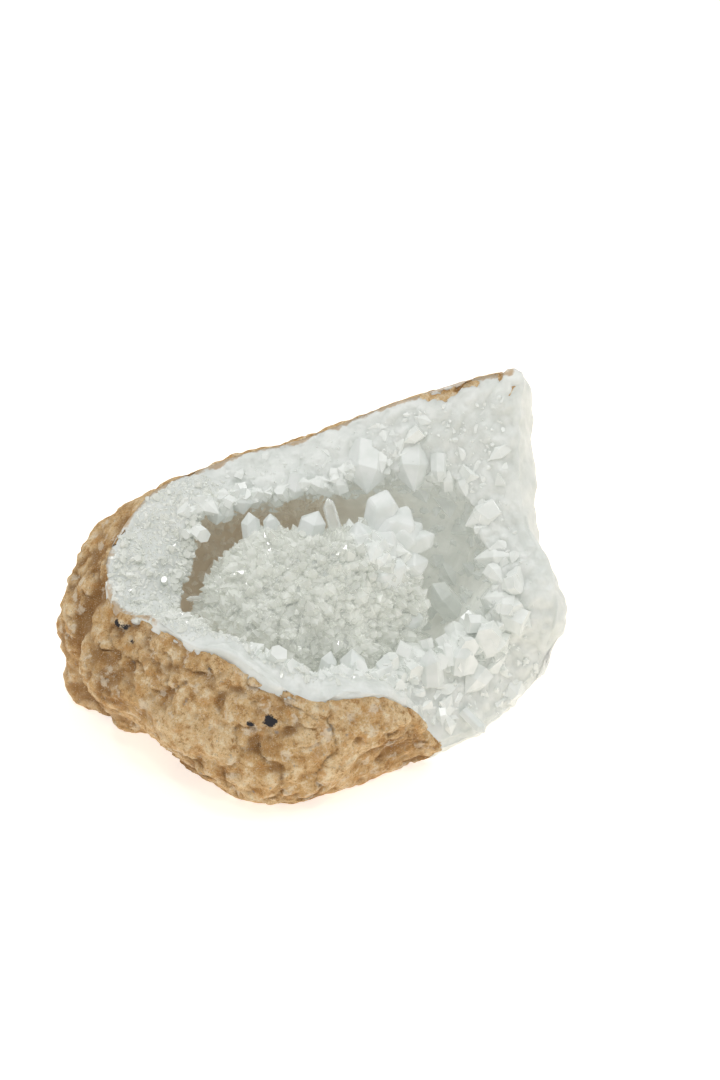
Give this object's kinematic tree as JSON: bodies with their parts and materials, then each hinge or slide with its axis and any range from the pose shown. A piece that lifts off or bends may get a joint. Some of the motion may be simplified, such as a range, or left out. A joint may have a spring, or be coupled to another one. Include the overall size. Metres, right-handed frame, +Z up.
{
  "type": "geode half",
  "caption": "Half of a broken quartz geode, lying open: a sandy lumpy rind round a thick white quartz wall, and a hollow filled by a mound of glittering druse.",
  "frame": {"origin": "on the surface the stone lies on, under the middle of its bounding box", "axes": "+X along the stone's length, towards the bare quartz end; +Y away from the side the hollow opens to; +Z up. The hollow opens up and towards -Y."},
  "size_m": [0.113, 0.0836, 0.0702],
  "materials": {
    "sandy_rind": "dull, gritty and pitted tan rind with orange-brown hollows and pale spots",
    "milky_quartz": "white, slightly translucent quartz with a rough broken face",
    "drusy_quartz": "glittering druse of tiny glassy quartz points",
    "clear_quartz": "smooth, glassy, clear to white quartz crystal faces"
  },
  "bodies": {
    "root": {"block_left": "clear_quartz", "block_left_small": "clear_quartz", "block_middle": "clear_quartz", "block_right": "clear_quartz", "cap_crystals": "clear_quartz", "clear_prism": "clear_quartz", "druse_mound": "drusy_quartz", "front_crystal": "clear_quartz", "hanging_prism": "clear_quartz", "lip_crystal_corner": "clear_quartz", "lip_crystal_end": "clear_quartz", "lip_crystal_left": "clear_quartz", "lip_crystal_middle": "clear_quartz", "lip_crystal_right": "clear_quartz", "needle": "clear_quartz", "needle_short": "clear_quartz", "quartz_wall": "milky_quartz", "rind": "sandy_rind", "roof_block_left": "clear_quartz", "roof_block_middle": "clear_quartz", "roof_block_right": "clear_quartz", "roof_point_left": "clear_quartz", "roof_point_right": "clear_quartz", "roof_point_small": "clear_quartz", "wall_crystal_behind": "clear_quartz", "wall_crystal_front": "clear_quartz", "wall_crystal_high": "clear_quartz", "wall_crystal_low": "clear_quartz", "wall_crystal_middle": "clear_quartz"}
  },
  "joints": []
}
